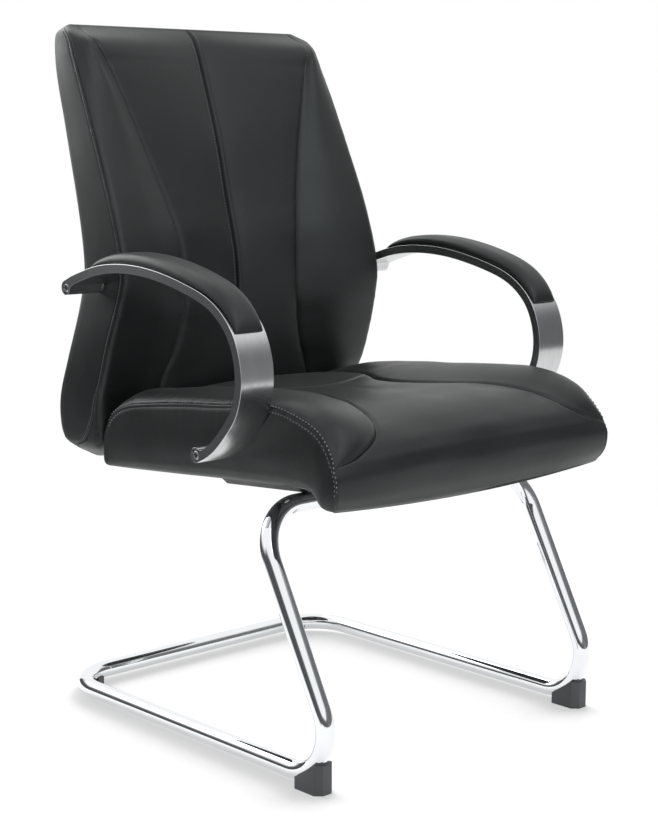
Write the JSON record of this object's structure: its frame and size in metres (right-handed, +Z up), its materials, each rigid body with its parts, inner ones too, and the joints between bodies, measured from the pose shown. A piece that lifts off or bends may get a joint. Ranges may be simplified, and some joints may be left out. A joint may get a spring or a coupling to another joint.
{
  "type": "visitor chair",
  "caption": "High-backed visitor chair with a stitched black leather seat and back, looped aluminium arms with leather pads, and a bent chrome tube sled frame.",
  "frame": {"origin": "on the floor, under the middle of the chair's box", "axes": "+Z up; the chair faces -Y; +X is towards the sitter's left arm"},
  "size_m": [0.611, 0.6426, 0.9724],
  "materials": {
    "chrome_tube": "mirror chrome plate on steel tube",
    "polished_aluminium": "polished and lightly brushed",
    "leather": "smooth black leather with a soft sheen",
    "black_steel": "black powder coat",
    "zinc_steel": "zinc plate",
    "plywood": "raw birch plywood",
    "foot_plastic": "moulded, fine grain",
    "base_plastic": "moulded",
    "lining": "black non-woven lining"
  },
  "bodies": {
    "root": {"arm_bolt_lower_left": "zinc_steel", "arm_bolt_lower_right": "zinc_steel", "arm_bolt_upper_left": "zinc_steel", "arm_bolt_upper_right": "zinc_steel", "arm_left": "polished_aluminium", "arm_pad_left": "leather", "arm_pad_right": "leather", "arm_right": "polished_aluminium", "arm_spacer_lower_left": "polished_aluminium", "arm_spacer_lower_right": "polished_aluminium", "arm_spacer_upper_left": "polished_aluminium", "arm_spacer_upper_right": "polished_aluminium", "back_anchor_left": "black_steel", "back_anchor_right": "black_steel", "back_board": "plywood", "back_bracket_left": "black_steel", "back_bracket_right": "black_steel", "back_cushion": "leather", "back_rear_panel": "leather", "bracket_screw_back_left": "zinc_steel", "bracket_screw_back_right": "zinc_steel", "bracket_screw_seat_left": "zinc_steel", "bracket_screw_seat_right": "zinc_steel", "frame_tube": "chrome_tube", "front_foot_left": "foot_plastic", "front_foot_right": "foot_plastic", "pad_base_left": "base_plastic", "pad_base_right": "base_plastic", "pad_screw_front_left": "zinc_steel", "pad_screw_front_right": "zinc_steel", "pad_screw_rear_left": "zinc_steel", "pad_screw_rear_right": "zinc_steel", "plate_bolt_front_left": "zinc_steel", "plate_bolt_front_right": "zinc_steel", "plate_bolt_rear_left": "zinc_steel", "plate_bolt_rear_right": "zinc_steel", "rear_foot_left": "foot_plastic", "rear_foot_right": "foot_plastic", "seat_anchor_left": "black_steel", "seat_anchor_right": "black_steel", "seat_cushion": "leather", "seat_dust_cover": "lining", "seat_pan": "plywood", "seat_tray": "black_steel"}
  },
  "joints": []
}
